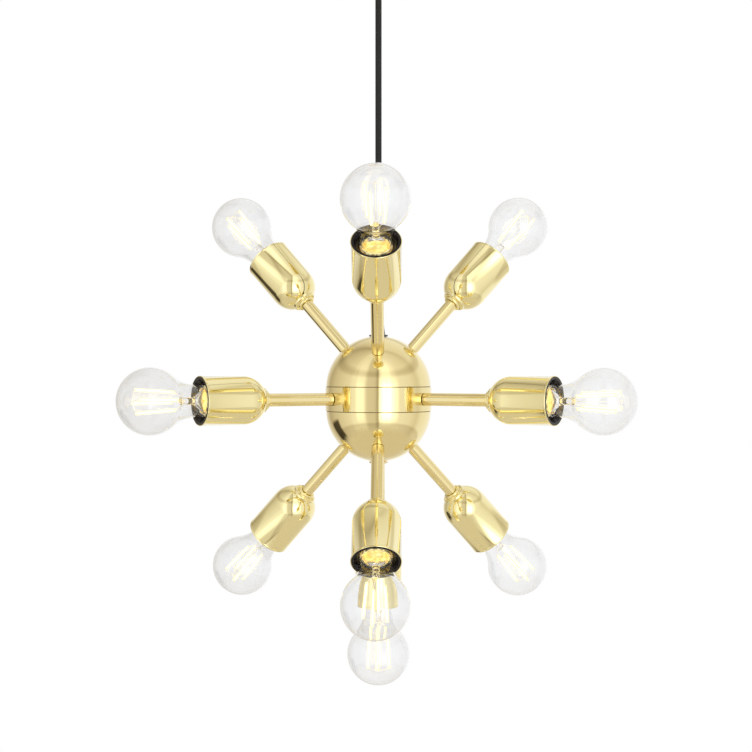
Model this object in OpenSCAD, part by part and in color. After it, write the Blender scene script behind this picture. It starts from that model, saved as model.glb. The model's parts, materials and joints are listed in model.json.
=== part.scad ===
// Multi arm pendant chandelier: a polished brass hub on a black cord, ten screw-in globe bulbs on straight
// arms, and the fitting that holds it under a ceiling.
// Frame: the ceiling is the plane z = 0, the cord hangs down the Z axis, and the front is -Y.

/* [Flex] */
// Diameter of the round flex
cord_d = 6; // [5:0.5:6.5]
// Sides of the flex's modelled surface
cord_sides = 12; // [8:1:12]

/* [Ceiling fitting] */
// Diameter of the canopy
canopy_d = 100; // [98:1:102]
// Height of the canopy
canopy_h = 30; // [29:1:31]
// Distance between the two ceiling slots
slot_spacing = 60; // [50:1:62]
// Length of each ceiling slot, end to end
slot_len = 14; // [10:0.5:16]
// Width of each ceiling slot
slot_w = 5.4; // [4.5:0.1:6]

/* [Hub] */
// Outer radius of the two domed shells
shell_r = 50; // [49:0.5:51]
// Thickness of the domed shells
shell_wall = 1.2; // [1:0.1:1.5]
// Height of each dome's centre above and below the middle of the hub
dome_offset = 10; // [9:0.5:11]
// Outer radius of the band between the shells
band_r = 50.5; // [50.4:0.1:51.5]
// Height of the band
band_h = 24; // [23:0.5:26]

/* [Arms] */
// Visible length of each side arm's tube
arm_len = 66; // [50:1:120]
// Visible length of the straight-down arm's tube
down_arm_len = 71; // [50:1:120]
// Angle of the upper and lower arms from the horizontal
arm_tilt = 45; // [40:1:50]
// Diameter of the arms' tube
tube_d = 12; // [11:0.5:13]

/* [Lamp cups] */
// Diameter of each cup
cup_d = 44; // [43.5:0.5:46]
// Length from a cup's mouth to the top of its dome
cup_len = 64; // [64:1:70]
// Thickness of the cups' metal
cup_wall = 0.9; // [0.8:0.05:1]

/* [Bulbs] */
// Diameter of the glass globe
globe_d = 60; // [56:1:62]
// Distance from a cup's mouth to the middle of the globe
globe_reach = 46; // [45:1:52]
// Thickness of the glass
glass_wall = 0.8; // [0.6:0.1:1]

/* [Hidden] */
$fn = 96;
ARMS = 10;
arm_ids = [1 : ARMS];
band_arm_ids = [4 : 6];
dome_arm_ids = [1, 2, 3, 7, 8, 9, 10];

// Threads are M10 lamp thread, drawn as plain cylinders with a little clearance.
thread_r = 4.9;
thread_hole_r = 5;
free_hole_r = 5.1;
nut_across_flats = 14;
nut_h = 4;
wire_bore_r = 3.6;

// Ceiling fitting
canopy_r = canopy_d / 2;
canopy_wall = 1;
canopy_corner_r = 4;
bracket_t = 2;
bracket_half_w = 9;
bracket_half_l = canopy_r - 4;
tab_h = 20;
cable_hole_r = 7;
ear_half_w = 13;
ear_end_y = 27;
side_screw_z = -10;
side_screw_r = 1.9;
grip_top_z = 10 - canopy_h;
grip_flange_z = -canopy_h;
swing_z = -canopy_h - 4;
grip_end_z = -canopy_h - 12;
cord_bore_r = cord_d / 2 + 0.3;
bell_r = cord_d / 2 + 2.6;
terminal_front_y = 12;
terminal_depth = 13;
terminal_half_w = 12;
terminal_h = 11;
core_r = 0.85;
core_pitch = 8;

// The flex's route: straight down from the swing point in the canopy's grip to its end in the hub
cord_route = [for (z = [-34, -50, -66, -82, -98, -114, -130, -146, -162, -178, -194, -210, -226,
    -242, -258, -274, -290, -306, -322, -338, -354, -370, -386, -402, -416]) [0, 0, z]];

// Hub, measured along an arm from the centre of its dome, or from the hub's centre for the band's arms
cord_in_hub = 14;
hub_z = cord_route[len(cord_route) - 1].z - cord_in_hub;
shell_in_r = shell_r - shell_wall;
dome_seat = sqrt(pow(shell_r, 2) - pow(free_hole_r, 2));
band_seat = band_r;
seam_gap = 0.7;
lip_in_r = shell_r - 2.7;
lip_out_r = shell_r - 1.6;
lip_h = 3;
nut_corner_r = nut_across_flats / sqrt(3);
dome_nut_top = sqrt(pow(shell_in_r, 2) - pow(nut_corner_r, 2)) - 0.1;
band_nut_top = sqrt(pow(lip_in_r, 2) - pow(nut_corner_r, 2)) - 0.1;
hub_top = dome_offset + dome_seat;
flange_t = 1.6;
flange_r = 9;

// Arm and cup, measured along the arm
hub_spigot = 11;
collar_t = 2;
collar_r = 8.5;
cup_spigot = 18;
cup_r = cup_d / 2;
cup_in_r = cup_r - cup_wall;
rim_seat = -0.5;
rim_top = 0.1;
rim_out_r = cup_r + 0.4;
rim_in_r = cup_r - 0.1;
cup_dome = cup_r - cup_len;

// E27 lampholder and bulb cap, measured from the cup's mouth, outwards
holder_r = cup_in_r - 0.4;
holder_flange_r = rim_in_r - 0.1;
holder_cone_r = 19.4;
holder_cone_end = -5;
holder_mouth_r = 15.8;
holder_bore_r = 14.4;
holder_floor = -33;
holder_back = -37;
holder_neck_r = 7.5;
holder_neck_end = -56;
sleeve_out_r = 14.3;
sleeve_in_r = 13.4;
sleeve_outer_end = -6.2;
sleeve_inner_end = -24.2;
cap_end = -30;
cap_crest_r = 13.1;
cap_root_r = 12.3;
cap_in_r = 11.6;
cap_rim_r = 13.6;
cap_rim = -3.5;
thread_pitch = 3.62;
thread_turns = 4;
first_crest = -21.6;

// Bulb glass: the globe runs into the neck through one long hollow curve
globe_r = globe_d / 2;
neck_r = 14.4;
neck_foot_r = 12.6;
neck_foot = -5;
neck_curve_r = 42;
neck_curve_drop = sqrt(pow(globe_r + neck_curve_r, 2) - pow(neck_r + neck_curve_r, 2));
neck_curve_s = globe_reach - neck_curve_drop;
neck_angle = atan2(neck_curve_drop, neck_r + neck_curve_r);

// Points of an arc from angle a to angle b, in steps
function arc(cx, cy, r, a, b, steps) =
    [for (k = [0 : steps]) let (t = a + (b - a) * k / steps) [cx + r * cos(t), cy + r * sin(t)]];

// Arms 1 to 3 are the upper ring, 4 to 6 the middle one, 7 to 9 the lower one, and 10 points straight down.
function ring(i) = i <= 3 ? 1 : i <= 6 ? 0 : -1;
function azimuth(i) = i == ARMS ? 0 : 120 * ((i - 1) % 3) + (ring(i) == 0 ? 60 : 0);
function pitch(i) = i == ARMS ? -90 : arm_tilt * ring(i);
function tube_start(i) = i == ARMS ? dome_seat + flange_t : ring(i) == 0 ? band_seat : dome_seat;
function tube_len(i) = i == ARMS ? down_arm_len : arm_len;
function mouth(i) = tube_start(i) + tube_len(i) + collar_t + cup_len;

module on_arm(i) {
    translate([0, 0, hub_z + dome_offset * ring(i)])
        rotate([0, 0, azimuth(i)])
            rotate([90 - pitch(i), 0, 0])
                children();
}

module at_mouth(i) {
    on_arm(i) translate([0, 0, mouth(i)]) children();
}

module hex_nut(height, bore_r) {
    difference() {
        cylinder(r = nut_corner_r, h = height, $fn = 6);
        translate([0, 0, -1]) cylinder(r = bore_r, h = height + 2);
    }
}

// ---- Ceiling fitting ----

module slot() {
    straight = slot_len - slot_w;
    translate([0, 0, -bracket_t - 1]) {
        translate([-straight / 2, -slot_w / 2, 0]) cube([straight, slot_w, bracket_t + 2]);
        for (side = [-1, 1])
            translate([side * straight / 2, 0, 0]) cylinder(d = slot_w, h = bracket_t + 2);
    }
}

module ceiling_bracket() {
    tab_t = 2;
    color("silver") difference() {
        union() {
            translate([-bracket_half_l, -bracket_half_w, -bracket_t])
                cube([2 * bracket_half_l, 2 * bracket_half_w, bracket_t]);
            translate([-ear_half_w, 0, -bracket_t])
                cube([2 * ear_half_w, ear_end_y, bracket_t]);
            for (x = [-bracket_half_l, bracket_half_l - tab_t])
                translate([x, -bracket_half_w, -tab_h]) cube([tab_t, 2 * bracket_half_w, tab_h]);
        }
        for (side = [-1, 1]) translate([side * slot_spacing / 2, 0, 0]) slot();
        translate([0, 0, -bracket_t - 1]) cylinder(r = cable_hole_r, h = bracket_t + 2);
        for (side = [-1, 1])
            translate([side * (bracket_half_l - tab_t / 2), 0, side_screw_z])
                rotate([0, 90, 0]) cylinder(r = side_screw_r + 0.1, h = 2 * tab_t, center = true);
    }
}

module canopy() {
    inner_r = canopy_r - canopy_wall;
    floor_z = canopy_wall - canopy_h;
    corner_z = canopy_corner_r - canopy_h;
    corner_x = canopy_r - canopy_corner_r;
    color("gold") difference() {
        rotate_extrude() polygon(concat(
            [[inner_r, 0], [canopy_r, 0]],
            arc(corner_x, corner_z, canopy_corner_r, 0, -90, 8),
            [[free_hole_r, -canopy_h], [free_hole_r, floor_z]],
            arc(corner_x, corner_z, canopy_corner_r - canopy_wall, -90, 0, 8)
        ));
        for (side = [-1, 1])
            translate([side * canopy_r, 0, side_screw_z])
                rotate([0, 90, 0]) cylinder(r = side_screw_r + 0.3, h = 8, center = true);
    }
}

module canopy_screws() {
    head_r = 3.8;
    head_t = 2.2;
    shank_len = 10;
    slot_cut = 0.8;
    color("gold") for (turn = [0, 180])
        rotate([0, 0, turn]) translate([canopy_r + 0.1, 0, side_screw_z]) rotate([0, 90, 0])
            difference() {
                union() {
                    cylinder(r1 = head_r, r2 = head_r - 1, h = head_t);
                    translate([0, 0, -shank_len]) cylinder(r = side_screw_r, h = shank_len);
                }
                translate([-head_r, -slot_cut / 2, head_t - slot_cut])
                    cube([2 * head_r, slot_cut, 2 * slot_cut]);
            }
}

module mains_terminal() {
    entry_r = core_r + 0.5;
    screw_r = 1.8;
    screw_depth = terminal_h / 2;
    color("white") difference() {
        translate([-terminal_half_w, terminal_front_y, -bracket_t - terminal_h])
            cube([2 * terminal_half_w, terminal_depth, terminal_h]);
        for (k = [-1 : 1]) translate([k * core_pitch, terminal_front_y, -bracket_t - terminal_h]) {
            translate([0, -1, terminal_h / 2]) rotate([-90, 0, 0])
                cylinder(r = entry_r, h = terminal_depth + 2);
            for (y = [0.3, 0.7]) translate([0, y * terminal_depth, -1])
                cylinder(r = screw_r, h = screw_depth + 1);
        }
    }
}

module canopy_cord_grip() {
    color("black") rotate_extrude() polygon([
        [cord_bore_r, grip_top_z], [thread_r, grip_top_z], [thread_r, grip_flange_z],
        [8, grip_flange_z], [8, grip_flange_z - 1.6], [7.4, grip_flange_z - 2.4],
        [bell_r + 1.2, grip_end_z], [bell_r, grip_end_z], [cord_bore_r, swing_z]
    ]);
}

module canopy_grip_nut() {
    color("silver") translate([0, 0, canopy_wall - canopy_h]) hex_nut(3, thread_hole_r);
}

// The flex above the grip: its sheath, then three cores that turn back into the terminal block
module cord_tail() {
    tail_start = swing_z + 1.2;
    sheath_top = -17;
    entry_z = -bracket_t - terminal_h / 2;
    spread = 2;
    color("black") {
        translate([0, 0, tail_start]) cylinder(d = cord_d, h = sheath_top - tail_start);
        for (k = [-1 : 1]) core(k * spread, k * core_pitch, sheath_top, entry_z);
    }
}

// One core: up out of the sheath at x0, back and across to x1, then straight into its way in the block
module core(x0, x1, z0, z1) {
    elbow_y = terminal_front_y - 2;
    way_in = 6;
    elbow_r = core_r + 0.1;
    translate([x0, 0, z0 - 1]) cylinder(r = core_r, h = z1 - z0 + 1);
    translate([x0, 0, z1]) {
        sphere(r = elbow_r);
        rotate([0, 0, -atan2(x1 - x0, elbow_y)]) rotate([-90, 0, 0])
            cylinder(r = core_r, h = norm([x1 - x0, elbow_y]));
    }
    translate([x1, elbow_y, z1]) {
        sphere(r = elbow_r);
        rotate([-90, 0, 0]) cylinder(r = core_r, h = way_in);
    }
}

// ---- Cord ----

module cord() {
    rings = len(cord_route);
    points = [for (p = cord_route) for (s = [0 : cord_sides - 1])
        let (t = 360 * s / cord_sides) [p.x + cord_d / 2 * cos(t), p.y + cord_d / 2 * sin(t), p.z]];
    walls = [for (k = [0 : rings - 2]) for (s = [0 : cord_sides - 1])
        let (a = k * cord_sides, b = a + cord_sides, n = (s + 1) % cord_sides)
        [a + s, a + n, b + n, b + s]];
    ends = [[for (s = [cord_sides - 1 : -1 : 0]) s],
            [for (s = [0 : cord_sides - 1]) (rings - 1) * cord_sides + s]];
    color("black") polyhedron(points, concat(walls, ends));
}

// ---- Hub ----

module hub_cord_grip() {
    base = hub_z + hub_top;
    color("black") rotate_extrude() polygon([
        [thread_hole_r, base], [9, base], [9, base + 0.8], [8.6, base + 1.2],
        [6.4, base + 1.4], [5.6, base + 8], [5, base + 14.7], [cord_bore_r, base + 14.7],
        [cord_bore_r, base + 6.8], [thread_hole_r, base + 6.8]
    ]);
}

// A dome centred on the origin, cut off where it meets the band
module dome() {
    cut = band_h / 2 - dome_offset;
    difference() {
        sphere(r = shell_r);
        sphere(r = shell_in_r);
        translate([0, 0, cut - 2 * shell_r]) cylinder(r = 2 * shell_r, h = 2 * shell_r);
    }
}

module arm_hole(i, length) {
    on_arm(i) translate([0, 0, 30]) cylinder(r = free_hole_r, h = length);
}

module hub_upper_shell() {
    color("gold") difference() {
        translate([0, 0, hub_z + dome_offset]) dome();
        for (i = [1 : 3]) arm_hole(i, 30);
        translate([0, 0, hub_z + 40]) cylinder(r = free_hole_r, h = 30);
    }
}

module hub_lower_shell() {
    color("gold") difference() {
        translate([0, 0, hub_z - dome_offset]) mirror([0, 0, 1]) dome();
        for (i = [7 : ARMS]) arm_hole(i, 30);
    }
}

module hub_band() {
    half = band_h / 2;
    rabbet_r = shell_r - 0.7;
    color("gold") difference() {
        translate([0, 0, hub_z]) rotate_extrude() polygon([
            [lip_in_r, -half - lip_h], [lip_out_r, -half - lip_h], [lip_out_r, -half],
            [rabbet_r, -half], [rabbet_r, seam_gap - half], [band_r, seam_gap - half],
            [band_r, half - seam_gap], [rabbet_r, half - seam_gap], [rabbet_r, half],
            [lip_out_r, half], [lip_out_r, half + lip_h], [lip_in_r, half + lip_h]
        ]);
        for (i = band_arm_ids) arm_hole(i, 30);
    }
}

// Threaded tube through the middle, with a window where the flex and the lamp leads meet
module hub_tie_tube() {
    top = hub_top + 5.8;
    bottom = -dome_offset - dome_seat - flange_t + hub_spigot + 1;
    bore_r = 4;
    window_w = 5;
    window_h = 24;
    color("silver") translate([0, 0, hub_z]) difference() {
        translate([0, 0, bottom]) cylinder(r = thread_r, h = top - bottom);
        translate([0, 0, bottom - 1]) cylinder(r = bore_r, h = top - bottom + 2);
        translate([-window_w / 2, -2 * thread_r, -window_h / 2])
            cube([window_w, 4 * thread_r, window_h]);
    }
}

// Long nut that joins the tie tube to the straight-down arm
module hub_coupling() {
    bottom = -dome_offset - dome_nut_top;
    color("silver") translate([0, 0, hub_z + bottom]) hex_nut(20, thread_hole_r);
}

module hub_connectors() {
    size = [9, 16, 18];
    hole_r = 1.8;
    color("white") for (turn = [0, 180])
        translate([0, 0, hub_z]) rotate([0, 0, turn]) translate([6.5, -size.y / 2, -size.z / 2])
            difference() {
                cube(size);
                for (z = [0.25, 0.75]) translate([size.x / 2, -1, z * size.z]) rotate([-90, 0, 0])
                    cylinder(r = hole_r, h = size.y + 2);
            }
}

// One nut inside the hub on each side arm, and one under the top of the upper shell
module hub_lock_nuts() {
    color("silver") {
        for (i = [1 : ARMS - 1])
            on_arm(i) translate([0, 0, (ring(i) == 0 ? band_nut_top : dome_nut_top) - nut_h])
                hex_nut(nut_h, thread_hole_r);
        translate([0, 0, hub_z + dome_offset + dome_nut_top - nut_h]) hex_nut(nut_h, thread_hole_r);
    }
}

module down_arm_flange() {
    edge_r = 0.6;
    color("gold") on_arm(ARMS) translate([0, 0, dome_seat]) rotate_extrude() polygon(concat(
        [[free_hole_r, 0]],
        arc(flange_r - edge_r, edge_r, edge_r, -90, 0, 4),
        arc(flange_r - edge_r, flange_t - edge_r, edge_r, 0, 90, 4),
        [[free_hole_r, flange_t]]
    ));
}

// ---- Arms and lamps ----

module arm_tube(i) {
    tube_r = tube_d / 2;
    edge = 0.4;
    start = tube_start(i);
    end = start + tube_len(i);
    color("gold") on_arm(i) rotate_extrude() polygon([
        [wire_bore_r, start - hub_spigot], [thread_r, start - hub_spigot], [thread_r, start],
        [tube_r - edge, start], [tube_r, start + edge], [tube_r, end - edge],
        [tube_r - edge, end], [thread_r, end], [thread_r, end + cup_spigot],
        [wire_bore_r, end + cup_spigot]
    ]);
}

// A spun cup with a domed back, a rolled rim, and where its arm enters a small collar in a low bead
module lamp_cup(i) {
    back = -cup_len - collar_t;
    edge_r = 0.9;
    rim_edge = 0.22;
    bead_t = 1.2;
    bead_r = 10.3;
    bead_proud = 0.46;
    bead_gap = 0.15;
    bead_seat = cup_dome - sqrt(pow(cup_r, 2) - pow(bead_r, 2)) - bead_proud;
    bead_meet = asin((bead_r + bead_t + bead_gap) / cup_r);
    hole_meet = 90 - asin(free_hole_r / cup_in_r);
    color("gold") at_mouth(i) rotate_extrude() polygon(concat(
        [[free_hole_r, back]],
        arc(collar_r - edge_r, back + edge_r, edge_r, -90, 0, 4),
        [[collar_r, bead_seat - bead_t]],
        arc(bead_r, bead_seat, bead_t, -160, 0, 8),
        arc(0, cup_dome, cup_r, bead_meet - 90, 0, 20),
        [[cup_r, rim_top - 2], [rim_out_r, rim_top - 1.2], [rim_out_r, rim_top - rim_edge],
         [rim_out_r - rim_edge, rim_top], [rim_in_r, rim_top], [rim_in_r, rim_seat],
         [cup_in_r, rim_seat]],
        arc(0, cup_dome, cup_in_r, 0, -hole_meet, 20)
    ));
}

// Their fronts are rings that narrow into a cone, and the cups' rims are rolled over the rings' edges
module lampholders() {
    edge = 0.3;
    neck_bore_end = -46;
    lead_hole_r = 3.2;
    color("black") for (i = arm_ids) at_mouth(i) rotate_extrude() polygon([
        [holder_cone_r, 0], [holder_flange_r - edge, 0], [holder_flange_r, -edge],
        [holder_flange_r, rim_seat], [holder_r, rim_seat], [holder_r, holder_back],
        [holder_neck_r, holder_back], [holder_neck_r, holder_neck_end],
        [thread_hole_r, holder_neck_end], [thread_hole_r, neck_bore_end],
        [lead_hole_r, neck_bore_end], [lead_hole_r, holder_floor], [holder_bore_r, holder_floor],
        [holder_bore_r, sleeve_outer_end], [holder_mouth_r, holder_cone_end]
    ]);
}

// In each lampholder: the threaded brass sleeve and the centre contact, which bridges the lead hole
module lampholder_contacts() {
    strip = [14, 5, 0.6];
    button_r = 2.5;
    button_h = 2;
    color("goldenrod") for (i = arm_ids) at_mouth(i) {
        translate([0, 0, sleeve_inner_end]) difference() {
            cylinder(r = sleeve_out_r, h = sleeve_outer_end - sleeve_inner_end);
            translate([0, 0, -1])
                cylinder(r = sleeve_in_r, h = sleeve_outer_end - sleeve_inner_end + 2);
        }
        translate([-strip.x / 2, -strip.y / 2, holder_floor]) cube(strip);
        translate([0, 0, holder_floor + strip.z / 2]) cylinder(r = button_r, h = strip.z / 2 + button_h);
    }
}

// Twin lead through each arm, from the middle of the hub to the back of its lampholder
module lamp_leads() {
    lead_r = 2.4;
    hub_end = 24;
    color("ivory") for (i = arm_ids) on_arm(i) translate([0, 0, hub_end])
        cylinder(r = lead_r, h = mouth(i) + holder_floor - 0.5 - hub_end);
}

// Globe, neck and the re-entrant stem that carries the filaments, all one piece of glass
module bulb_glass(i) {
    curve_x = neck_r + neck_curve_r;
    inner_neck_r = neck_r - glass_wall;
    shoulder_r = neck_r - neck_foot_r;
    stem_r = 3.2;
    stem_top = 18;
    color("whitesmoke", 0.4) at_mouth(i) rotate_extrude() polygon(concat(
        [[0, 4], [2.6, 3.4], [10.9, neck_foot], [neck_foot_r, neck_foot], [neck_foot_r, -3.2]],
        arc(neck_foot_r, shoulder_r - 3.2, shoulder_r, -60, 0, 4),
        arc(curve_x, neck_curve_s, neck_curve_r, 180, 180 - neck_angle, 10),
        arc(0, globe_reach, globe_r, 1 - neck_angle, 90, 28),
        arc(0, globe_reach, globe_r - glass_wall, 90, 1 - neck_angle, 28),
        arc(curve_x, neck_curve_s, neck_curve_r + glass_wall, 180 - neck_angle, 180, 10),
        [[inner_neck_r, -1], [neck_foot_r - 1, -3], [neck_foot_r - 1, -4.2], [4, 5.2],
         [stem_r, 7.5], [stem_r, stem_top], [0, stem_top]]
    ));
}

// Screw cap with rings for its thread, the insulator and the centre contact, hollow inside
module bulb_base(i) {
    half_crest = 0.5;
    half_ring = 1.4;
    pocket_r = 13;
    pocket_floor = -5.4;
    color("goldenrod") at_mouth(i) rotate_extrude() polygon(concat(
        [[0, cap_end], [4.4, cap_end], [4.8, cap_end + 0.6], [4.8, cap_end + 1.8],
         [5.2, cap_end + 1.8], [8.6, -25], [9.4, -24.6], [cap_root_r, -23.4]],
        [for (k = [0 : thread_turns - 1]) let (s = first_crest + thread_pitch * k)
            each [[cap_root_r, s - half_ring], [cap_crest_r, s - half_crest],
                  [cap_crest_r, s + half_crest], [cap_root_r, s + half_ring]]],
        [[cap_root_r, pocket_floor - 1.6], [cap_rim_r, pocket_floor - 0.4], [cap_rim_r, cap_rim],
         [pocket_r, cap_rim], [pocket_r, pocket_floor], [cap_in_r, pocket_floor],
         [cap_in_r, -22.6], [8.6, -23.6], [4.6, -26.6], [0, -26.6]]
    ));
}

ceiling_bracket();
canopy();
canopy_screws();
mains_terminal();
canopy_cord_grip();
canopy_grip_nut();
cord_tail();
cord();
hub_cord_grip();
hub_upper_shell();
hub_band();
hub_lower_shell();
hub_tie_tube();
hub_coupling();
hub_connectors();
hub_lock_nuts();
down_arm_flange();
lampholders();
lampholder_contacts();
lamp_leads();
for (i = arm_ids) {
    arm_tube(i);
    lamp_cup(i);
    bulb_glass(i);
    bulb_base(i);
}
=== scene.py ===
import json
import math

import bmesh
import bpy
from mathutils import Matrix, Vector


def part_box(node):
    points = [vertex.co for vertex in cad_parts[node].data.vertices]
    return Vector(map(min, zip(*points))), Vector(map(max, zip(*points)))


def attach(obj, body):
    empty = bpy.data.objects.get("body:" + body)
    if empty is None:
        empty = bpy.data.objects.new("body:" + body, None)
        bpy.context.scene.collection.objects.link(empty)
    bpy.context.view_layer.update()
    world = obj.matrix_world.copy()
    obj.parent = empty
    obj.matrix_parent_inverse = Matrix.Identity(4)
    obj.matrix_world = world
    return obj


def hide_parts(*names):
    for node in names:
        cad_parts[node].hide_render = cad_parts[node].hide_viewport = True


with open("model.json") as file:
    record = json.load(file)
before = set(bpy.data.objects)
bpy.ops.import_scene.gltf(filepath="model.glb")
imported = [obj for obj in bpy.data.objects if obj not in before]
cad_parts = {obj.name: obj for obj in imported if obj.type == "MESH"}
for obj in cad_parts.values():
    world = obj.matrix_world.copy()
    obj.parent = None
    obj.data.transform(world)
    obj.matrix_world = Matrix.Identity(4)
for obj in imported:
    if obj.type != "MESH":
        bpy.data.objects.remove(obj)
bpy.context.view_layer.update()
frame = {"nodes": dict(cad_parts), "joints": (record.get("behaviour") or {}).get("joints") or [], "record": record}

# Looks for a brass pendant: a round hub on a black flex, ten arms, ten cups and ten clear bulbs.
# Metres, in the model's own frame: the ceiling is z = 0, and the front is -Y.

JOINTS = {joint["name"]: joint for joint in frame["joints"]}
LAMPS = range(1, 11)

# ---------------------------------------------------------------- camera

hub_low, hub_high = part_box("hub_band")
hub_centre = (hub_low + hub_high) / 2

CAMERA_DISTANCE = 1.336
CAMERA_AZIMUTH = math.radians(0.9)
CAMERA_ELEVATION = math.radians(1.24)
LENS_MM = 67.0
SHIFT = (-0.0033, 0.0303)


def add_camera():
    level = math.cos(CAMERA_ELEVATION)
    toward_camera = Vector((
        math.sin(CAMERA_AZIMUTH) * level,
        -math.cos(CAMERA_AZIMUTH) * level,
        math.sin(CAMERA_ELEVATION),
    ))
    data = bpy.data.cameras.new("camera")
    data.lens = LENS_MM
    data.sensor_width = 36
    data.shift_x, data.shift_y = SHIFT
    camera = bpy.data.objects.new("camera", data)
    camera.location = hub_centre + toward_camera * CAMERA_DISTANCE
    camera.rotation_euler = (-toward_camera).to_track_quat("-Z", "Y").to_euler()
    bpy.context.scene.collection.objects.link(camera)
    bpy.context.scene.camera = camera


add_camera()

# ---------------------------------------------------------------- helpers


def add_object(name, data, matrix=None):
    piece = bpy.data.objects.new(name, data)
    if matrix is not None:
        piece.matrix_world = matrix
    bpy.context.scene.collection.objects.link(piece)
    return piece


def new_material(name):
    """A material with an empty node tree but for its Principled shader and its output."""
    material = bpy.data.materials.new(name)
    material.use_nodes = True
    tree = material.node_tree
    shader = tree.nodes["Principled BSDF"]
    return material, tree, shader


def add_node(tree, kind, inputs=None, **settings):
    """A node with its settings, its input values, and links from any sockets given as inputs."""
    node = tree.nodes.new(kind)
    for name, value in settings.items():
        setattr(node, name, value)
    for key, value in (inputs or {}).items():
        if isinstance(value, bpy.types.NodeSocket):
            tree.links.new(value, node.inputs[key])
        else:
            node.inputs[key].default_value = value
    return node


def stretched_noise(tree, stretch, scale, detail=3.0):
    """Noise in the object's own coordinates, stretched by different amounts along its axes."""
    place = add_node(tree, "ShaderNodeTexCoord")
    mapping = add_node(tree, "ShaderNodeMapping", {"Vector": place.outputs["Object"], "Scale": stretch})
    noise = add_node(tree, "ShaderNodeTexNoise", {
        "Vector": mapping.outputs["Vector"], "Scale": scale, "Detail": detail,
    })
    return noise.outputs["Fac"]


def between(tree, factor, low, high):
    """Maps a factor from 0..1 to low..high."""
    spread = add_node(tree, "ShaderNodeMapRange", {"Value": factor, "To Min": low, "To Max": high})
    return spread.outputs["Result"]


def mixed_colour(tree, factor, first, second):
    mix = add_node(tree, "ShaderNodeMix", data_type="RGBA")
    tree.links.new(factor, mix.inputs["Factor"])
    mix.inputs[6].default_value = (*first, 1)
    mix.inputs[7].default_value = (*second, 1)
    return mix.outputs[2]


def bumped(tree, shader, height, strength, distance):
    bump = add_node(tree, "ShaderNodeBump", {
        "Height": height, "Strength": strength, "Distance": distance,
    })
    tree.links.new(bump.outputs["Normal"], shader.inputs["Normal"])


# ---------------------------------------------------------------- materials

BRASS_LIGHT = (0.935, 0.80, 0.43)
BRASS_DEEP = (0.905, 0.755, 0.365)
CUP_LIGHT = (0.965, 0.86, 0.48)
CUP_DEEP = (0.945, 0.825, 0.42)


def polished_brass(name, light, deep, haze_low=0.035, haze_high=0.085):
    """Polished, lacquered brass: slight waviness from the polishing, faint haze and fine wipe marks."""
    material, tree, shader = new_material(name)
    tint = stretched_noise(tree, (1, 1, 1), 22, 4)
    tree.links.new(mixed_colour(tree, tint, light, deep), shader.inputs["Base Color"])
    shader.inputs["Metallic"].default_value = 1
    haze = stretched_noise(tree, (1, 1, 0.3), 140, 6)
    tree.links.new(between(tree, haze, haze_low, haze_high), shader.inputs["Roughness"])
    wave = stretched_noise(tree, (1, 1, 1), 45, 1)
    bumped(tree, shader, wave, 0.08, 0.0006)
    shader.inputs["Coat Weight"].default_value = 0.15
    shader.inputs["Coat Roughness"].default_value = 0.03
    return material


def painted_groove_shade():
    """Dark brown metal painted into grooves and seams as shade, in place of the dark that a deep gap gets from
    lack of light.
    """
    material, tree, shader = new_material("painted_groove_shade")
    mottle = stretched_noise(tree, (1, 1, 1), 400, 3)
    tree.links.new(
        mixed_colour(tree, mottle, (0.30, 0.21, 0.09), (0.20, 0.13, 0.05)), shader.inputs["Base Color"]
    )
    shader.inputs["Metallic"].default_value = 0.6
    tree.links.new(between(tree, mottle, 0.45, 0.65), shader.inputs["Roughness"])
    return material


def satin_brass(name, light, deep, roughness):
    """Plain stamped brass, with a soft mottling."""
    material, tree, shader = new_material(name)
    mottle = stretched_noise(tree, (1, 1, 1), 300, 5)
    tree.links.new(mixed_colour(tree, mottle, light, deep), shader.inputs["Base Color"])
    shader.inputs["Metallic"].default_value = 1
    tree.links.new(between(tree, mottle, roughness - 0.06, roughness + 0.08), shader.inputs["Roughness"])
    grain = stretched_noise(tree, (1, 1, 1), 1800, 2)
    bumped(tree, shader, grain, 0.15, 0.0001)
    return material


def cap_brass_with_painted_glow():
    """The thin caps' brass, with an uneven golden glow painted on as emission, in place of the filaments' light
    caught inside them.
    """
    material = satin_brass("cap_brass", (0.95, 0.84, 0.46), (0.91, 0.78, 0.38), 0.20)
    tree = material.node_tree
    shader = tree.nodes["Principled BSDF"]
    painted_glow_spots = stretched_noise(tree, (1, 1, 1), 260, 2)
    contrast = add_node(tree, "ShaderNodeMapRange", {"Value": painted_glow_spots, "From Min": 0.40, "From Max": 0.68})
    # Painted glow: the brass is given an emission of its own, though it is no lamp
    shader.inputs["Emission Color"].default_value = (0.98, 0.86, 0.46, 1)
    glow = between(tree, contrast.outputs["Result"], 0.10, 0.78)
    tree.links.new(glow, shader.inputs["Emission Strength"])
    return material


def wire_with_painted_glow():
    """Thin nickel wire, with a faint glow painted on as emission in place of the light from the filaments that it
    holds.
    """
    material, tree, shader = new_material("wire_with_painted_glow")
    film = stretched_noise(tree, (1, 1, 1), 500, 3)
    tree.links.new(
        mixed_colour(tree, film, (0.90, 0.85, 0.72), (0.84, 0.77, 0.62)), shader.inputs["Base Color"]
    )
    shader.inputs["Metallic"].default_value = 1
    tree.links.new(between(tree, film, 0.25, 0.40), shader.inputs["Roughness"])
    # Painted glow: the wire is given an emission of its own, in place of the filaments' light on it
    shader.inputs["Emission Color"].default_value = (1.0, 0.92, 0.74, 1)
    shader.inputs["Emission Strength"].default_value = 0.45
    return material


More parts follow.
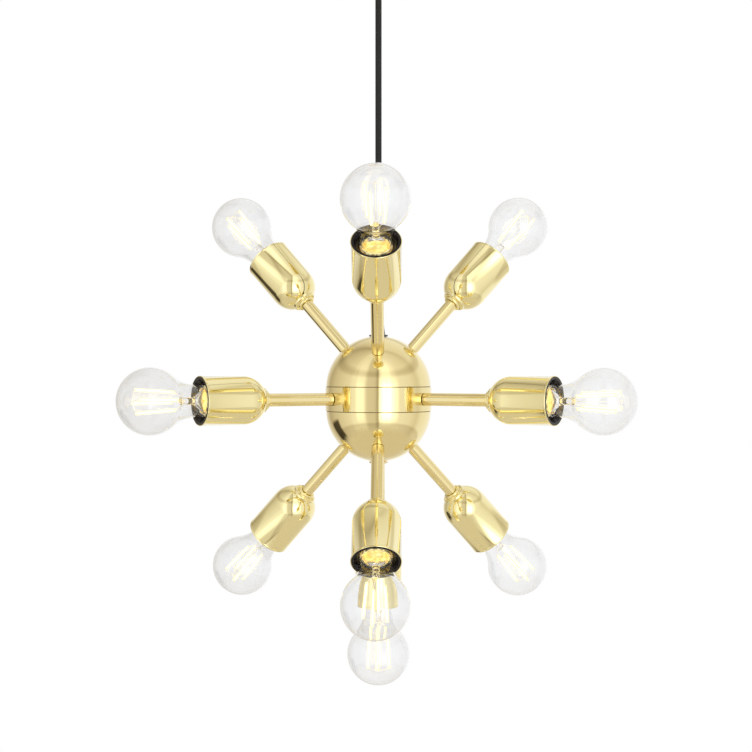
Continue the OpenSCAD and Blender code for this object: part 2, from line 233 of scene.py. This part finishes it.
def zinc_steel():
    """Zinc-plated steel, with the faint yellow and blue of its passivation."""
    material, tree, shader = new_material("zinc_steel")
    film = stretched_noise(tree, (1, 1, 1), 60, 4)
    tree.links.new(
        mixed_colour(tree, film, (0.66, 0.65, 0.60), (0.56, 0.59, 0.64)), shader.inputs["Base Color"]
    )
    shader.inputs["Metallic"].default_value = 1
    spangle = stretched_noise(tree, (1, 1, 1), 500, 4)
    tree.links.new(between(tree, spangle, 0.25, 0.42), shader.inputs["Roughness"])
    bumped(tree, shader, spangle, 0.1, 0.0001)
    return material


def moulded_plastic(name, light, deep, roughness, grain_scale=1400, shine=0.5):
    """Moulded plastic: a fine spark-eroded grain, with a little unevenness in its sheen."""
    material, tree, shader = new_material(name)
    cloud = stretched_noise(tree, (1, 1, 1), 90, 3)
    tree.links.new(mixed_colour(tree, cloud, light, deep), shader.inputs["Base Color"])
    tree.links.new(between(tree, cloud, roughness - 0.05, roughness + 0.05), shader.inputs["Roughness"])
    shader.inputs["Specular IOR Level"].default_value = shine
    grain = stretched_noise(tree, (1, 1, 1), grain_scale, 2)
    bumped(tree, shader, grain, 0.1, 0.0001)
    return material


def clear_glass():
    """Thin blown glass: clear, with the faintest grey, a little uneven."""
    material, tree, shader = new_material("clear_glass")
    ripple = stretched_noise(tree, (1, 1, 1), 40, 1)
    tint = mixed_colour(tree, ripple, (0.965, 0.968, 0.970), (0.955, 0.958, 0.962))
    tree.links.new(tint, shader.inputs["Base Color"])
    shader.inputs["Transmission Weight"].default_value = 1
    shader.inputs["IOR"].default_value = 1.5
    shader.inputs["Roughness"].default_value = 0
    return material


def filament_core():
    """The white-hot strip along the middle of a lit filament."""
    material, tree, shader = new_material("filament_core")
    speck = stretched_noise(tree, (1, 1, 1), 900, 2)
    glow = mixed_colour(tree, speck, (1.0, 0.93, 0.72), (1.0, 0.96, 0.80))
    tree.links.new(glow, shader.inputs["Emission Color"])
    shader.inputs["Base Color"].default_value = (0.9, 0.8, 0.5, 1)
    shader.inputs["Emission Strength"].default_value = 3.0
    return material


def filament_sleeve():
    """The yellow phosphor round the strip, half clear and glowing softly."""
    material, tree, shader = new_material("filament_sleeve")
    speck = stretched_noise(tree, (1, 1, 1), 700, 2)
    glow = mixed_colour(tree, speck, (1.0, 0.85, 0.46), (1.0, 0.89, 0.54))
    tree.links.new(glow, shader.inputs["Emission Color"])
    shader.inputs["Base Color"].default_value = (0.9, 0.72, 0.25, 1)
    shader.inputs["Roughness"].default_value = 0.6
    shader.inputs["Emission Strength"].default_value = 1.0
    shader.inputs["Alpha"].default_value = 0.75
    return material


BRASS = polished_brass("polished_brass", BRASS_LIGHT, BRASS_DEEP)
CUP_BRASS = polished_brass("spun_brass", CUP_LIGHT, CUP_DEEP, haze_low=0.055, haze_high=0.10)
TUBE_BRASS = polished_brass("drawn_brass", BRASS_LIGHT, BRASS_DEEP, haze_low=0.07, haze_high=0.12)
GROOVE_SHADE = painted_groove_shade()
CAP_BRASS = cap_brass_with_painted_glow()
CONTACT_BRASS = satin_brass("contact_brass", (0.82, 0.63, 0.30), (0.74, 0.54, 0.24), 0.30)
STEEL = zinc_steel()
WIRE = wire_with_painted_glow()
BLACK = moulded_plastic("black_plastic", (0.014, 0.008, 0.006), (0.006, 0.004, 0.004), 0.20, shine=0.22)
FLEX = moulded_plastic("flex_black", (0.015, 0.015, 0.015), (0.011, 0.011, 0.011), 0.55, shine=0.3)
WHITE = moulded_plastic("white_plastic", (0.84, 0.84, 0.81), (0.78, 0.78, 0.74), 0.40)
IVORY = moulded_plastic("lead_ivory", (0.80, 0.75, 0.60), (0.72, 0.67, 0.52), 0.45)
GLASS = clear_glass()
FILAMENT_CORE = filament_core()
FILAMENT_SLEEVE = filament_sleeve()

# Everything on the band that lies nearer the axis than this is in a groove or inside the hub, and gets the painted
# groove shade
BAND_FACE_RADIUS = 0.0500

SLOT_MATERIALS = {
    "polished_brass": BRASS,
    "contact_brass": CONTACT_BRASS,
    "cap_brass": CAP_BRASS,
    "zinc_steel": STEEL,
    "black_plastic": BLACK,
    "flex_black": FLEX,
    "white_plastic": WHITE,
    "lead_ivory": IVORY,
    "clear_glass": GLASS,
}


def paint_cad_nodes():
    """Every CAD node gets its slot's material, and the band's two grooves get painted shade."""
    slots = {part["node"]: part["material_slot"] for part in frame["record"]["subparts"]}
    for name, node in frame["nodes"].items():
        node.data.materials.clear()
        node.data.materials.append(SLOT_MATERIALS[slots[name]])
    band = frame["nodes"]["hub_band"]
    # The band's grooves are painted dark as shade
    band.data.materials.append(GROOVE_SHADE)
    for face in band.data.polygons:
        middle = band.matrix_world @ face.center
        if math.hypot(middle.x, middle.y) < BAND_FACE_RADIUS:
            face.material_index = 1


paint_cad_nodes()

# ---------------------------------------------------------------- flex

FLEX_DIAMETER = 0.006
FLEX_ROUTE = [(0, 0, z / 1000) for z in (
    -34, -50, -66, -82, -98, -114, -130, -146, -162, -178, -194, -210, -226,
    -242, -258, -274, -290, -306, -322, -338, -354, -370, -386, -402, -416,
)]


def add_flex():
    curve = bpy.data.curves.new("flex", "CURVE")
    curve.dimensions = "3D"
    curve.bevel_depth = FLEX_DIAMETER / 2
    curve.bevel_resolution = 8
    curve.use_fill_caps = True
    spline = curve.splines.new("POLY")
    spline.points.add(len(FLEX_ROUTE) - 1)
    for point, place in zip(spline.points, FLEX_ROUTE):
        point.co = (*place, 1)
    curve.materials.append(FLEX)
    flex = add_object("flex", curve)
    flex.visible_transmission = False
    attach(flex, "cord")
    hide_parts("cord")


add_flex()

# ---------------------------------------------------------------- lamps


def lamp_matrix(i):
    """From a lamp's own frame, with its mouth at the origin and +Z outwards, to the model's frame."""
    joint = JOINTS[f"lamp_{i}_unscrew"]
    outward = Vector(joint["axis"]).normalized()
    return Matrix.Translation(joint["pos_m"]) @ outward.to_track_quat("Z", "Y").to_matrix().to_4x4()


def arc(cx, cy, radius, start, end, steps):
    """Points from one angle to another, in degrees, round a centre."""
    angles = (math.radians(start + (end - start) * k / steps) for k in range(steps + 1))
    return [(cx + radius * math.cos(a), cy + radius * math.sin(a)) for a in angles]


def lathe(name, outline, segments):
    """An outline of (radius, height) pairs, anticlockwise round its solid, turned round Z."""
    mesh = bpy.data.meshes.new(name)
    bm = bmesh.new()
    rings = []
    for radius, height in outline:
        if radius < 1e-7:
            rings.append([bm.verts.new((0, 0, height))])
            continue
        turns = (2 * math.pi * k / segments for k in range(segments))
        rings.append([bm.verts.new((radius * math.cos(t), radius * math.sin(t), height)) for t in turns])
    for lower, upper in zip(rings, rings[1:] + rings[:1]):
        if len(lower) == 1 and len(upper) == 1:
            continue
        for k in range(segments):
            after = (k + 1) % segments
            corners = [lower[k % len(lower)], lower[after % len(lower)],
                       upper[after % len(upper)], upper[k % len(upper)]]
            bm.faces.new(list(dict.fromkeys(corners))).smooth = True
    bm.to_mesh(mesh)
    bm.free()
    mesh.set_sharp_from_angle(angle=math.radians(32))
    return mesh


MM = 0.001
GLOBE_RADIUS = 30 * MM
GLOBE_CENTRE = 46 * MM
GLASS_WALL = 0.8 * MM
NECK_RADIUS = 14.4 * MM
NECK_FOOT_RADIUS = 12.6 * MM
NECK_CURVE = 42 * MM


def glass_outline():
    """The globe, its long hollow curve into the neck, and the stem that rises inside it."""
    drop = math.sqrt((GLOBE_RADIUS + NECK_CURVE) ** 2 - (NECK_RADIUS + NECK_CURVE) ** 2)
    curve_x = NECK_RADIUS + NECK_CURVE
    curve_y = GLOBE_CENTRE - drop
    swing = math.degrees(math.atan2(drop, curve_x))
    shoulder = NECK_RADIUS - NECK_FOOT_RADIUS
    inner = NECK_RADIUS - GLASS_WALL
    outside = (
        [(0, 4 * MM), (2.6 * MM, 3.4 * MM), (10.9 * MM, -5 * MM)]
        + [(NECK_FOOT_RADIUS, -5 * MM), (NECK_FOOT_RADIUS, -3.2 * MM)]
        + arc(NECK_FOOT_RADIUS, shoulder - 3.2 * MM, shoulder, -60, 0, 6)
        + arc(curve_x, curve_y, NECK_CURVE, 180, 180 - swing, 24)
        + arc(0, GLOBE_CENTRE, GLOBE_RADIUS, 1 - swing, 90, 64)
    )
    inside = (
        arc(0, GLOBE_CENTRE, GLOBE_RADIUS - GLASS_WALL, 90, 1 - swing, 64)
        + arc(curve_x, curve_y, NECK_CURVE + GLASS_WALL, 180 - swing, 180, 24)
        + [(inner, -1 * MM), (NECK_FOOT_RADIUS - MM, -3 * MM), (NECK_FOOT_RADIUS - MM, -4.2 * MM)]
        + [(4 * MM, 5.2 * MM), (3.2 * MM, 7.5 * MM), (3.2 * MM, 18 * MM), (0, 18 * MM)]
    )
    outside[-1] = (0, outside[-1][1])
    inside[0] = (0, inside[0][1])
    return outside + inside


GLASS_MESH = lathe("bulb_glass", glass_outline(), 96)
GLASS_MESH.materials.append(GLASS)


def rod(bm, start, end, radius, sides=10):
    """A straight rod with domed ends, added to a mesh in progress."""
    along = end - start
    turn = along.to_track_quat("Z", "Y").to_matrix().to_4x4()
    place = Matrix.Translation(start) @ turn
    length = along.length
    outline = [(0, 0), (radius * 0.7, 0), (radius, radius * 0.4),
               (radius, length - radius * 0.4), (radius * 0.7, length), (0, length)]
    rings = []
    for r, z in outline:
        if r == 0:
            rings.append([bm.verts.new(place @ Vector((0, 0, z)))])
            continue
        turns = (2 * math.pi * k / sides for k in range(sides))
        rings.append([bm.verts.new(place @ Vector((r * math.cos(t), r * math.sin(t), z))) for t in turns])
    for lower, upper in zip(rings, rings[1:]):
        for k in range(sides):
            after = (k + 1) % sides
            corners = [lower[k % len(lower)], lower[after % len(lower)],
                       upper[after % len(upper)], upper[k % len(upper)]]
            face = bm.faces.new(list(dict.fromkeys(corners)))
            face.smooth = True


CUP_RADIUS = 22 * MM
CUP_INSIDE = 21.1 * MM
CUP_DOME = -42 * MM
CUP_BACK = -66 * MM
HOLE_RADIUS = 5.1 * MM
COLLAR_RADIUS = 8.5 * MM
COLLAR_EDGE = 0.9 * MM
# The low bead round the collar: where its middle is, and its thickness
BEAD_RADIUS = 10.3 * MM
BEAD_SEAT = CUP_DOME - 19.9 * MM
BEAD_THICKNESS = 1.2 * MM
# The rolled rim, as (radius, height) in millimetres
CUP_RIM = (
    (22, -1.9), (22.25, -1.5), (22.4, -1.1), (22.4, -0.12), (22.18, 0.1), (21.9, 0.1), (21.9, -0.5),
    (21.1, -0.5),
)
# Every face of a tube that lies nearer its axis than this is in a groove or inside it, and gets the painted groove
# shade
TUBE_FACE_RADIUS = 5.95 * MM


def cup_outline():
    """The collar in its bead, the dome, the side, the rim rolled over the lampholder, and the inside."""
    collar = arc(COLLAR_RADIUS - COLLAR_EDGE, CUP_BACK + COLLAR_EDGE, COLLAR_EDGE, -90, 0, 6)
    foot = [(COLLAR_RADIUS, BEAD_SEAT - BEAD_THICKNESS)]
    bead = arc(BEAD_RADIUS, BEAD_SEAT, BEAD_THICKNESS, -160, 0, 12)
    outside = arc(0, CUP_DOME, CUP_RADIUS, -58, 0, 40)
    rim = [(radius * MM, height * MM) for radius, height in CUP_RIM]
    inside = arc(0, CUP_DOME, CUP_INSIDE, 0, -76, 24)
    return [(HOLE_RADIUS, CUP_BACK)] + collar + foot + bead + outside + rim + inside


def tube_outline(length):
    """A plain tube with a turned-down spigot at each end, for the hub and for the cup."""
    tube, spigot, bore, edge = 6 * MM, 4.9 * MM, 3.6 * MM, 0.4 * MM
    start = CUP_BACK - length
    return [
        (bore, start - 11 * MM), (spigot, start - 11 * MM), (spigot, start), (tube - edge, start),
        (tube, start + edge), (tube, CUP_BACK - edge), (tube - edge, CUP_BACK), (spigot, CUP_BACK),
        (spigot, CUP_BACK + 18 * MM), (bore, CUP_BACK + 18 * MM),
    ]


def brass_mesh(name, outline, segments, material):
    """A lathed piece in one brass, with painted groove shade as its second material for any faces in grooves."""
    mesh = lathe(name, outline, segments)
    mesh.materials.append(material)
    mesh.materials.append(GROOVE_SHADE)
    return mesh


CUP_MESH = brass_mesh("cup", cup_outline(), 128, CUP_BRASS)
SIDE_TUBE = brass_mesh("side_tube", tube_outline(66 * MM), 64, TUBE_BRASS)
DOWN_TUBE = brass_mesh("down_tube", tube_outline(71 * MM), 64, TUBE_BRASS)
for tube in (SIDE_TUBE, DOWN_TUBE):
    # Faces in the tubes' end grooves are painted dark as shade
    for face in tube.polygons:
        if face.center.to_2d().length < TUBE_FACE_RADIUS:
            face.material_index = 1


def add_arm(i):
    """Arm i's tube and cup, both fixed to the chandelier."""
    for mesh, node in ((DOWN_TUBE if i == 10 else SIDE_TUBE, "arm_tube"), (CUP_MESH, "lamp_cup")):
        piece = add_object(f"{mesh.name}_{i}", mesh, lamp_matrix(i))
        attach(piece, "chandelier")
        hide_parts(f"{node}_{i}")


FILAMENTS = 4
FILAMENT_LOW = (8.0 * MM, 23 * MM)
FILAMENT_HIGH = (10.5 * MM, 60 * MM)
SLEEVE_RADIUS = 1.4 * MM
CORE_RADIUS = 0.75 * MM
WIRE_RADIUS = 0.25 * MM


def around(radius, height, turn):
    return Vector((radius * math.cos(turn), radius * math.sin(turn), height))


def filament_meshes():
    """The four filaments' cores and sleeves, and the wires that hold them to the stem."""
    cores, sleeves, wires = bmesh.new(), bmesh.new(), bmesh.new()
    hook = Vector((0, 0, 63 * MM))
    rod(wires, Vector((0, 0, 17 * MM)), hook, WIRE_RADIUS)
    for k in range(FILAMENTS):
        turn = 2 * math.pi * (k + 0.5) / FILAMENTS
        low = around(*FILAMENT_LOW, turn)
        high = around(*FILAMENT_HIGH, turn)
        rod(sleeves, low, high, SLEEVE_RADIUS, 14)
        rod(cores, low.lerp(high, 0.03), low.lerp(high, 0.97), CORE_RADIUS, 10)
        rod(wires, around(1.5 * MM, 14 * MM, turn), low, WIRE_RADIUS)
        rod(wires, high, hook, WIRE_RADIUS)
    meshes = []
    for name, bm, material in (
        ("filament_cores", cores, FILAMENT_CORE),
        ("filament_sleeves", sleeves, FILAMENT_SLEEVE),
        ("filament_wires", wires, WIRE),
    ):
        mesh = bpy.data.meshes.new(name)
        bmesh.ops.recalc_face_normals(bm, faces=bm.faces)
        bm.to_mesh(mesh)
        bm.free()
        mesh.materials.append(material)
        meshes.append(mesh)
    return meshes


LIT_MESHES = filament_meshes()
# How far each bulb has been screwed round, in degrees: no two the same
BULB_TURNS = (20, 65, 40, 10, 80, 55, 30, 75, 5, 50)


def add_bulb(i):
    turned = lamp_matrix(i) @ Matrix.Rotation(math.radians(BULB_TURNS[i - 1]), 4, "Z")
    glass = add_object(f"glass_{i}", GLASS_MESH, turned)
    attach(glass, f"lamp_bulb_{i}")
    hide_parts(f"bulb_glass_{i}")
    for mesh in LIT_MESHES:
        piece = add_object(f"{mesh.name}_{i}", mesh, turned)
        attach(piece, f"lamp_bulb_{i}")


for i in LAMPS:
    add_arm(i)
    add_bulb(i)

# ---------------------------------------------------------------- room and light

FLOOR_DROP = 2.2
FLOOR_RADIUS = 2.4
FLOOR_SOLID = 1.5


def add_floor():
    """A pale round floor that fades out towards its edge, so it has no horizon of its own."""
    bm = bmesh.new()
    bmesh.ops.create_circle(bm, cap_ends=True, segments=96, radius=FLOOR_RADIUS)
    mesh = bpy.data.meshes.new("floor")
    bm.to_mesh(mesh)
    bm.free()
    material, tree, shader = new_material("floor")
    cloud = stretched_noise(tree, (1, 1, 1), 2, 2)
    tree.links.new(
        mixed_colour(tree, cloud, (0.88, 0.84, 0.77), (0.85, 0.81, 0.74)), shader.inputs["Base Color"]
    )
    shader.inputs["Roughness"].default_value = 0.8
    place = add_node(tree, "ShaderNodeTexCoord")
    out = add_node(tree, "ShaderNodeVectorMath", {0: place.outputs["Object"]}, operation="LENGTH")
    fade = add_node(tree, "ShaderNodeMapRange", {
        "Value": out.outputs["Value"], "From Min": FLOOR_SOLID, "From Max": FLOOR_RADIUS,
        "To Min": 1.0, "To Max": 0.0,
    })
    tree.links.new(fade.outputs["Result"], shader.inputs["Alpha"])
    mesh.materials.append(material)
    add_object("floor", mesh, Matrix.Translation((0, 0, -FLOOR_DROP)))


add_floor()


# The walls' brightness, as (degrees round from the front, level): positive turns towards +X
WALL_ROUND = (
    (-180, 1.0), (-150, 0.75), (-130, 0.50), (-110, 0.66), (-90, 0.76), (-65, 0.88), (-57, 1.0),
    (-30, 1.0), (-23, 0.76), (-8, 0.73), (-4, 0.62), (-1.5, 0.46), (1, 0.60), (4, 1.0), (50, 0.97),
    (75, 0.88), (95, 0.76), (110, 0.92), (150, 1.0), (180, 1.0),
)
# What the walls are multiplied by, as (height of the direction's unit vector, factor)
WALL_HEIGHT = (
    (-1.0, 0.72), (-0.58, 0.80), (-0.50, 0.76), (-0.44, 1.0), (0.38, 1.0), (0.47, 0.76), (0.55, 0.74),
    (0.66, 0.95), (1.0, 0.88),
)
# Two soft boxes, one large to the right of the camera and one faint to its left, added to the walls
BOX_ROUND = (
    (-180, 0.0), (-52, 0.0), (-45, 0.24), (-34, 0.20), (-27, 0.0), (0, 0.0), (4, 0.40), (8, 0.72),
    (13, 1.0), (27, 0.95), (31, 0.58), (38, 0.32), (48, 0.0), (180, 0.0),
)
BOX_HEIGHT = (
    (-1.0, 0.0), (-0.58, 0.0), (-0.47, 0.15), (-0.33, 0.70), (-0.17, 1.0), (0.10, 1.0), (0.24, 0.60),
    (0.40, 0.34), (0.75, 0.24), (0.95, 0.0), (1.0, 0.0),
)
BOX_LEVEL = 1.6
# A black flag, low behind the left: where it begins and ends, round and up
FLAG_ROUND = ((-180, 0.0), (-133, 0.0), (-127, 1.0), (-105, 1.0), (-99, 0.0), (180, 0.0))
FLAG_HEIGHT = ((-1.0, 0.0), (-0.70, 0.0), (-0.63, 1.0), (-0.28, 1.0), (-0.21, 0.0), (1.0, 0.0))
FLAG_SHADE = 0.12
# The tint of the studio's darkest parts, and the brightness where it is full and where it is gone
WARM_SHADE = (1.0, 0.88, 0.68)
WARM_FULL = 0.3
WARM_GONE = 0.95


def ramp(tree, factor, stops):
    """A colour ramp through (position, grey level) stops."""
    node = add_node(tree, "ShaderNodeValToRGB", {"Fac": factor})
    elements = node.color_ramp.elements
    elements.remove(elements[1])
    for k, (position, level) in enumerate(stops):
        stop = elements[0] if k == 0 else elements.new(position)
        stop.position = position
        stop.color = (level, level, level, 1)
    return node.outputs["Color"]


def light_studio():
    """A white studio with a soft box to the right of the camera; the camera itself sees plain white."""
    world = bpy.data.worlds.new("studio")
    bpy.context.scene.world = world
    world.use_nodes = True
    tree = world.node_tree
    tree.nodes.clear()

    def maths(operation, first, second):
        return add_node(tree, "ShaderNodeMath", {0: first, 1: second}, operation=operation).outputs[0]

    def turned(stops):
        return [((degrees + 180) / 360, level) for degrees, level in stops]

    def raised(stops):
        return [((height + 1) / 2, level) for height, level in stops]

    place = add_node(tree, "ShaderNodeTexCoord")
    axes = add_node(tree, "ShaderNodeSeparateXYZ", {"Vector": place.outputs["Generated"]})
    backwards = maths("MULTIPLY", axes.outputs["Y"], -1.0)
    angle = maths("ARCTAN2", axes.outputs["X"], backwards)
    round_it = maths("MULTIPLY_ADD", angle, 1 / (2 * math.pi))
    round_it.node.inputs[2].default_value = 0.5
    height = maths("MULTIPLY_ADD", axes.outputs["Z"], 0.5)
    height.node.inputs[2].default_value = 0.5

    def painted(around_it, up_it):
        return maths("MULTIPLY", ramp(tree, round_it, turned(around_it)), ramp(tree, height, raised(up_it)))

    walls = painted(WALL_ROUND, WALL_HEIGHT)
    boxes = painted(BOX_ROUND, BOX_HEIGHT)
    level = maths("MULTIPLY_ADD", boxes, BOX_LEVEL)
    tree.links.new(walls, level.node.inputs[2])
    flag = painted(FLAG_ROUND, FLAG_HEIGHT)
    brightness = maths("MULTIPLY", level, between(tree, flag, 1.0, FLAG_SHADE))
    warmth = add_node(tree, "ShaderNodeMapRange", {
        "Value": brightness, "From Min": WARM_FULL, "From Max": WARM_GONE,
    })
    tint = mixed_colour(tree, warmth.outputs["Result"], WARM_SHADE, (1, 1, 1))
    studio = add_node(tree, "ShaderNodeBackground", {"Color": tint, "Strength": brightness})
    plain = add_node(tree, "ShaderNodeBackground", {"Color": (1, 1, 1, 1), "Strength": 1.0})
    path = add_node(tree, "ShaderNodeLightPath")
    shown = add_node(tree, "ShaderNodeMixShader", {
        0: path.outputs["Is Camera Ray"], 1: studio.outputs[0], 2: plain.outputs[0],
    })
    add_node(tree, "ShaderNodeOutputWorld", {"Surface": shown.outputs[0]})


light_studio()
scene = bpy.context.scene
scene.view_settings.view_transform = "Standard"
# Light finds its way out of the polished sockets only after many reflections
scene.cycles.max_bounces = 24
scene.cycles.glossy_bounces = 12
scene.cycles.transmission_bounces = 20
